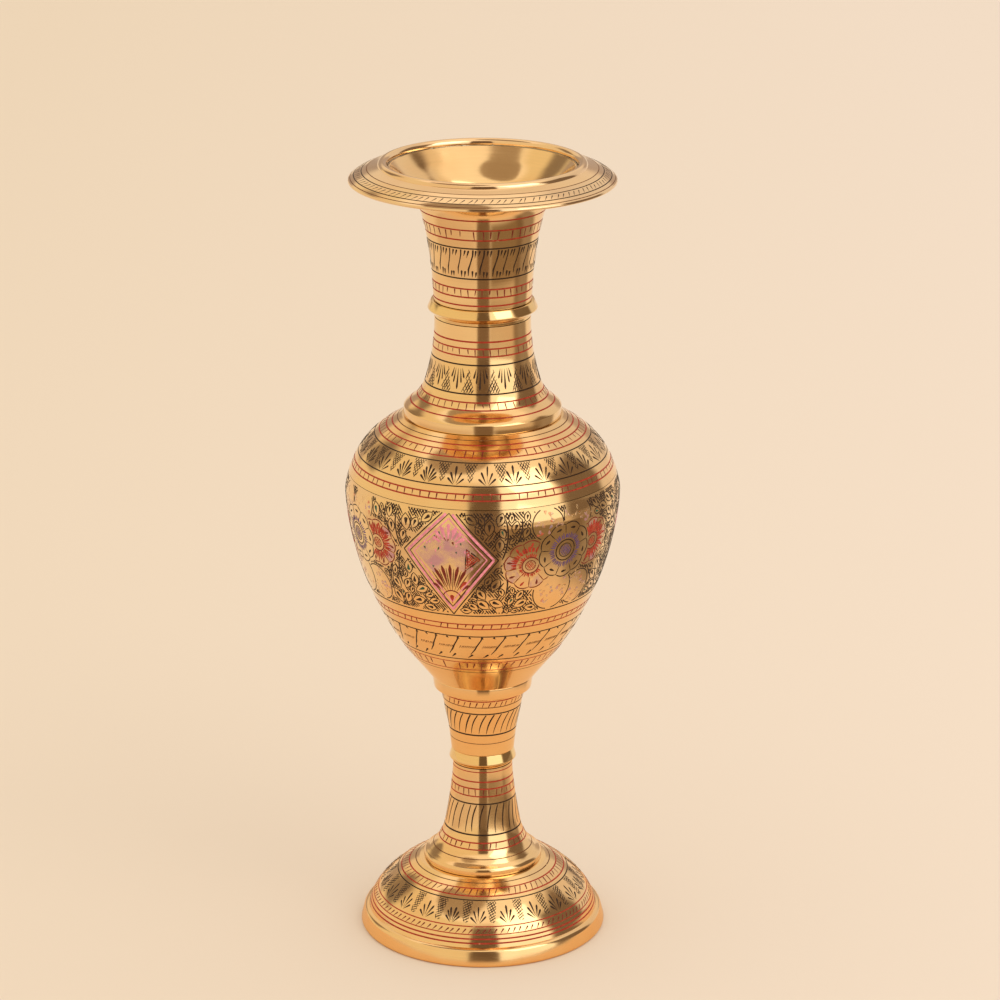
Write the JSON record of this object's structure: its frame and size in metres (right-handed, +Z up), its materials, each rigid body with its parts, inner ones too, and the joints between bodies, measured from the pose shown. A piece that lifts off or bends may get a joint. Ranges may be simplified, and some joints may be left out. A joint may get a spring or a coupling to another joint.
{
  "type": "flower vase",
  "caption": "Tall brass flower vase: domed foot, slim stem, round bowl, flared neck and wide brim, engraved all over and screwed together at two collars.",
  "frame": {"origin": "on the vase's axis, in the plane its foot rests on", "axes": "+Z up along the axis of turning; +X to the viewer's right and -Y towards the viewer; the body is the same all round, so X and Y are set only by the engraving"},
  "size_m": [0.1562, 0.1562, 0.4572],
  "materials": {
    "polished_brass": "polished, with light turning marks",
    "red_lacquer": "lacquer filled into engraved lines, rubbed back level",
    "black_lacquer": "lacquer filled into engraved lines, rubbed back level",
    "pink_lacquer": "lacquer filled into engraved petals, rubbed back level",
    "purple_lacquer": "lacquer filled into engraved petals, rubbed back level",
    "green_lacquer": "lacquer filled into engraved leaves, rubbed back level"
  },
  "bodies": {
    "base": {"foot": "polished_brass", "lower_stem": "polished_brass"},
    "stem_ring": {"stem_collar": "polished_brass"},
    "bowl": {"upper_stem": "polished_brass", "bowl_lower": "polished_brass", "bowl_upper": "polished_brass", "lower_neck": "polished_brass"},
    "neck_ring": {"neck_collar": "polished_brass"},
    "mouth": {"upper_neck": "polished_brass", "mouth_ring": "polished_brass"}
  },
  "joints": [
    {"name": "stem_lift", "type": "slide", "parent": "base", "child": "stem_ring", "axis": [0, 0, 1], "range_m": [0, 0.00561]},
    {"name": "stem_turn", "type": "hinge", "parent": "stem_ring", "child": "bowl", "pos_m": [0, 0, 0.1], "axis": [0, 0, 1], "range_deg": [0, 630]},
    {"name": "neck_lift", "type": "slide", "parent": "bowl", "child": "neck_ring", "axis": [0, 0, 1], "range_m": [0, 0.00561]},
    {"name": "neck_turn", "type": "hinge", "parent": "neck_ring", "child": "mouth", "pos_m": [0, 0, 0.368], "axis": [0, 0, 1], "range_deg": [0, 630]}
  ],
  "couplings": [
    {"joint": "stem_lift", "follows": "stem_turn", "m_per_rad": 0.0005093},
    {"joint": "neck_lift", "follows": "neck_turn", "m_per_rad": 0.0005093}
  ]
}
